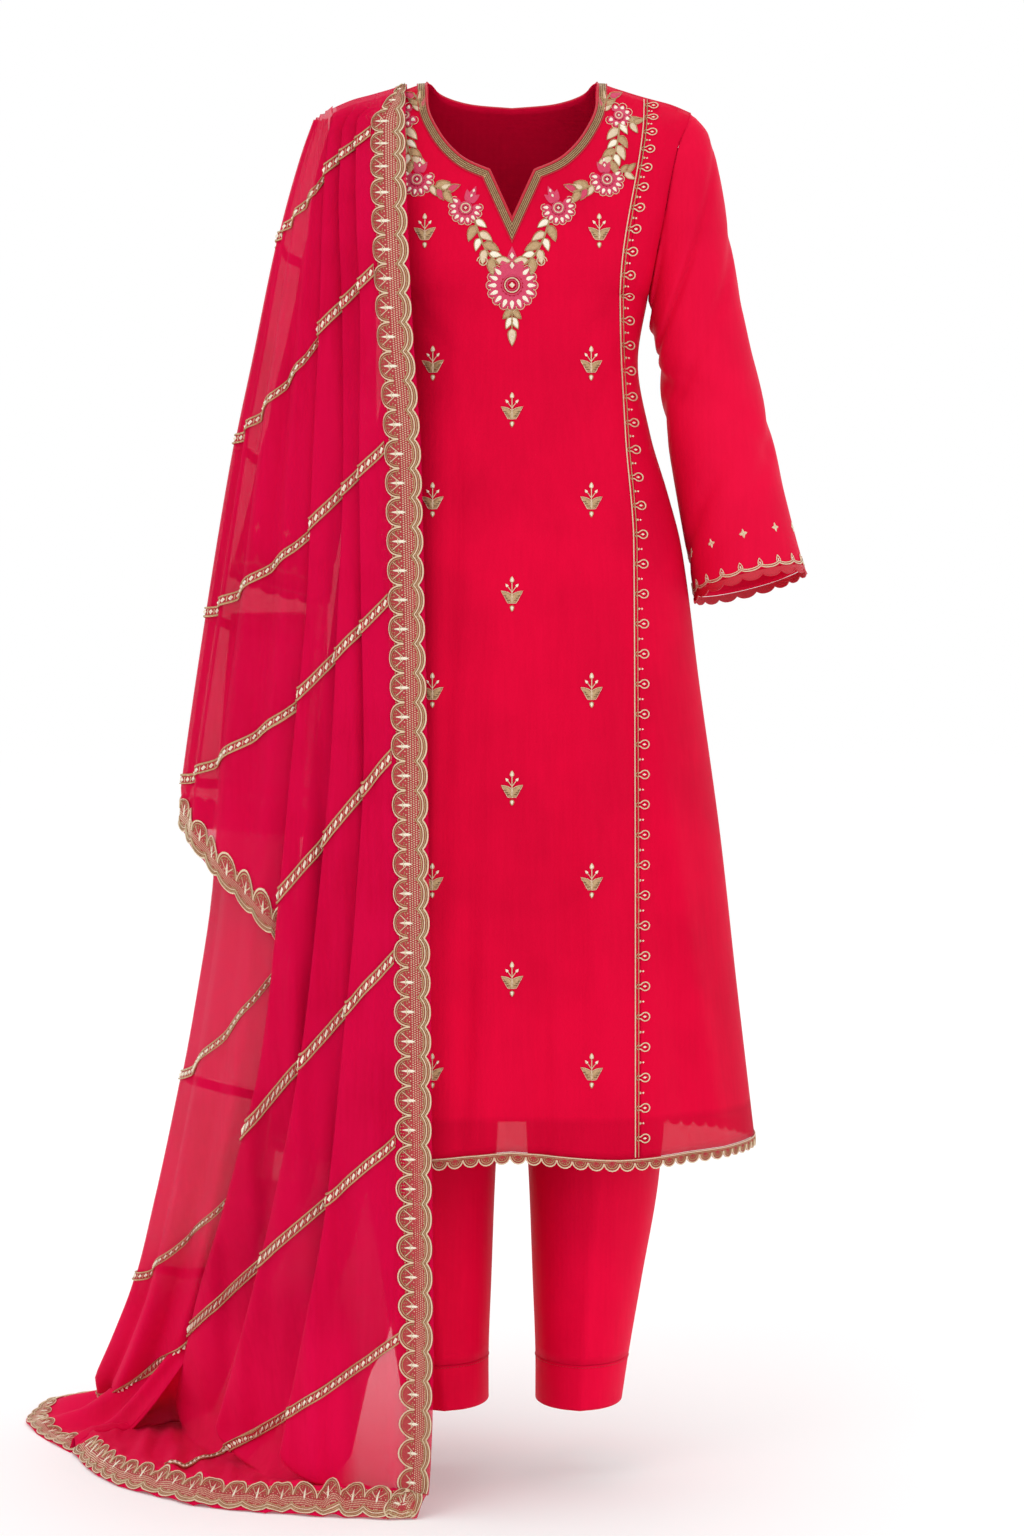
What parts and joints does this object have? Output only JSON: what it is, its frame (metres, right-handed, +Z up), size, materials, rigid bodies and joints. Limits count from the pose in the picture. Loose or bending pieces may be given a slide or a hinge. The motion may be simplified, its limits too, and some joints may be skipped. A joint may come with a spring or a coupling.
{
  "type": "salwar kameez suit",
  "caption": "Crimson kameez with embroidered neck and gold braid, straight trousers and a sheer gold-edged dupatta draped from one shoulder to the floor.",
  "frame": {"origin": "midway between the two points where the shoulder seams meet the neck, where the wearer holds the suit up", "axes": "+Z up, +X to the wearer's left, the front faces -Y"},
  "size_m": [0.83, 0.5851, 1.421],
  "materials": {
    "crimson_georgette": "soft sheen",
    "crimson_lining": "matt",
    "crimson_trouser_cloth": "soft sheen",
    "crimson_chiffon": "sheer",
    "gold_lace": "metallic thread",
    "gold_gota": "metallic tape with pearls",
    "cuff_edging": "satin with gold cord"
  },
  "bodies": {
    "root": {"cuff_edge_left": "cuff_edging", "cuff_edge_right": "cuff_edging", "dupatta_back": "crimson_chiffon", "dupatta_back_edge_lace": "gold_lace", "dupatta_back_hem_lace": "gold_lace", "dupatta_cape": "crimson_chiffon", "dupatta_cape_lace": "gold_lace", "dupatta_edge_lace": "gold_lace", "dupatta_front": "crimson_chiffon", "dupatta_hem_lace": "gold_lace", "dupatta_lower": "crimson_chiffon", "dupatta_train_lace": "gold_lace", "gota_cape_1": "gold_gota", "gota_cape_2": "gold_gota", "gota_cape_3": "gold_gota", "gota_cape_4": "gold_gota", "gota_front_1": "gold_gota", "gota_front_2": "gold_gota", "gota_front_3": "gold_gota", "gota_front_4": "gold_gota", "gota_front_5": "gold_gota", "gota_front_6": "gold_gota", "gota_front_7": "gold_gota", "gota_front_8": "gold_gota", "gota_lower_5": "gold_gota", "gota_lower_6": "gold_gota", "gota_lower_7": "gold_gota", "hem_lace": "gold_lace", "kameez_back": "crimson_georgette", "kameez_front_centre": "crimson_georgette", "kameez_front_side_left": "crimson_georgette", "kameez_front_side_right": "crimson_georgette", "kameez_lining_back": "crimson_lining", "kameez_lining_front": "crimson_lining", "neck_band_back": "gold_lace", "neck_band_front": "gold_lace", "panel_braid_left": "gold_lace", "panel_braid_right": "gold_lace", "sleeve_left": "crimson_georgette", "sleeve_right": "crimson_georgette", "trouser_back_left": "crimson_trouser_cloth", "trouser_back_right": "crimson_trouser_cloth", "trouser_cuff_left": "crimson_trouser_cloth", "trouser_cuff_right": "crimson_trouser_cloth", "trouser_front_left": "crimson_trouser_cloth", "trouser_front_right": "crimson_trouser_cloth", "trouser_waistband": "crimson_trouser_cloth"}
  },
  "joints": []
}
